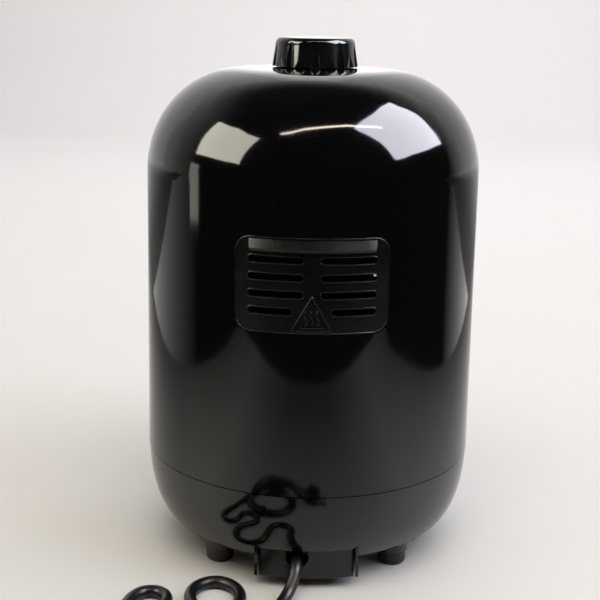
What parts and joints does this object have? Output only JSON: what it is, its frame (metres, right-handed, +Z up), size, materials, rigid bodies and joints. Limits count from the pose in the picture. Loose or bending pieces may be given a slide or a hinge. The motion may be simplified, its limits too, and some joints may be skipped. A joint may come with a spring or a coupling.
{
  "type": "compact air fryer",
  "caption": "Compact domed air fryer: pull-out drawer with perforated basket, dial on top, timer dial in front, rear hot-air outlet and mains lead.",
  "frame": {"origin": "on the surface it stands on, below the middle of the appliance's box (without its lead)", "axes": "+Z up; the drawer, its handle and the timer dial face -Y; the hot-air outlet and the mains lead are at +Y"},
  "size_m": [0.216, 0.401, 0.3155],
  "materials": {
    "gloss_black": "high-gloss black moulded plastic",
    "satin_black": "satin black moulded plastic",
    "knob_black": "gloss black moulded plastic",
    "nylon_black": "heat-resistant moulded plastic, fine texture",
    "nylon_grey": "natural grey moulded plastic",
    "foot_rubber": "matte rubber",
    "cord_pvc": "satin PVC sheath",
    "nonstick": "speckled non-stick coating",
    "screw_steel": "zinc-plated steel",
    "stainless": "rolled stainless steel",
    "spring_steel": "spring steel wire",
    "aluminised": "aluminised sheet steel",
    "fan_aluminium": "pressed aluminium",
    "element_sheath": "oxidised heating-element sheath",
    "insulation": "ceramic fibre board",
    "lamination": "stacked silicon steel",
    "winding": "taped copper winding",
    "rotor_metal": "cast rotor",
    "bronze": "sintered bronze",
    "zinc_sheet": "zinc-plated sheet steel",
    "nickel": "nickel plate",
    "copper_tube": "drawn copper",
    "smoke_clear": "smoke-tinted clear plastic",
    "red_lens": "red translucent lens",
    "green_lens": "green translucent lens",
    "neon_glass": "clear glass lamp",
    "wire_white": "silicone wire insulation",
    "terminal_nylon": "natural nylon",
    "tie_black": "nylon tie"
  },
  "bodies": {
    "housing": {"upper_shell": "gloss_black", "lower_shell": "gloss_black", "vent_grille": "satin_black", "cord_bracket": "satin_black", "rubber_feet": "foot_rubber", "chassis": "nylon_black", "housing_screws": "screw_steel", "reflector": "aluminised", "heating_element": "element_sheath", "element_clips": "stainless", "insulation_disc": "insulation", "motor_stator": "lamination", "motor_coil": "winding", "bearing_brackets": "zinc_sheet", "bearings": "bronze", "motor_bracket": "zinc_sheet", "exhaust_duct": "nylon_black", "thermostat": "nylon_grey", "capillary_tube": "copper_tube", "sensing_bulb": "copper_tube", "timer_bezel": "satin_black", "power_lens": "red_lens", "heating_lens": "green_lens", "indicator_lamps": "neon_glass", "timer_body": "nylon_grey", "timer_bell": "nickel", "thermal_fuse": "wire_white", "terminal_block": "terminal_nylon", "supply_wires": "wire_white", "safety_switch": "terminal_nylon", "strain_relief": "cord_pvc", "power_cord": "cord_pvc", "cord_coil": "cord_pvc", "cord_tie": "tie_black", "cord_tail": "cord_pvc", "plug": "cord_pvc"},
    "drawer": {"pan": "nonstick", "basket": "nonstick", "basket_bracket": "stainless", "drawer_front": "gloss_black", "drawer_back_plate": "zinc_sheet", "drawer_screws": "screw_steel", "handle_left": "nylon_black", "handle_right": "nylon_black", "latch_pin": "stainless", "button_spring": "spring_steel"},
    "release_button": {"release_button": "nylon_grey"},
    "release_latch": {"release_latch": "zinc_sheet"},
    "button_guard": {"button_guard": "smoke_clear"},
    "temperature_dial": {"temperature_knob": "knob_black", "thermostat_shaft": "stainless"},
    "timer_dial": {"timer_knob": "knob_black", "timer_shaft": "stainless"},
    "fan_rotor": {"hot_air_fan": "fan_aluminium", "cooling_fan": "fan_aluminium", "motor_shaft": "stainless", "motor_rotor": "rotor_metal", "fan_nuts": "screw_steel"},
    "switch_plunger": {"switch_plunger": "nylon_black"}
  },
  "joints": [
    {"name": "drawer_slide", "type": "slide", "parent": "housing", "child": "drawer", "axis": [0, -1, 0], "range_m": [0, 0.135]},
    {"name": "button_press", "type": "slide", "parent": "drawer", "child": "release_button", "axis": [0, 0, -1], "range_m": [0, 0.004], "stiffness_N_per_m": 400, "deforming": ["button_spring"]},
    {"name": "latch_tilt", "type": "hinge", "parent": "drawer", "child": "release_latch", "pos_m": [0, -0.067, 0.128], "axis": [1, 0, 0], "range_deg": [0, 9.6]},
    {"name": "guard_slide", "type": "slide", "parent": "drawer", "child": "button_guard", "axis": [0, -1, 0], "range_m": [0, 0.022]},
    {"name": "temperature_turn", "type": "hinge", "parent": "housing", "child": "temperature_dial", "pos_m": [0, 0.027, 0.305], "axis": [0, 0, -1], "range_deg": [0, 270]},
    {"name": "timer_turn", "type": "hinge", "parent": "housing", "child": "timer_dial", "pos_m": [0, -0.083, 0.205], "axis": [0, 1, 0], "range_deg": [0, 330]},
    {"name": "fan_spin", "type": "hinge", "parent": "housing", "child": "fan_rotor", "pos_m": [0, 0.027, 0.18], "axis": [0, 0, 1], "continuous": true},
    {"name": "plunger_slide", "type": "slide", "parent": "housing", "child": "switch_plunger", "axis": [0, -1, 0], "range_m": [0, 0.003]}
  ],
  "couplings": [
    {"joint": "latch_tilt", "follows": "button_press", "rad_per_m": 41.667},
    {"joint": "plunger_slide", "follows": "drawer_slide", "ratio": 0.0222}
  ]
}
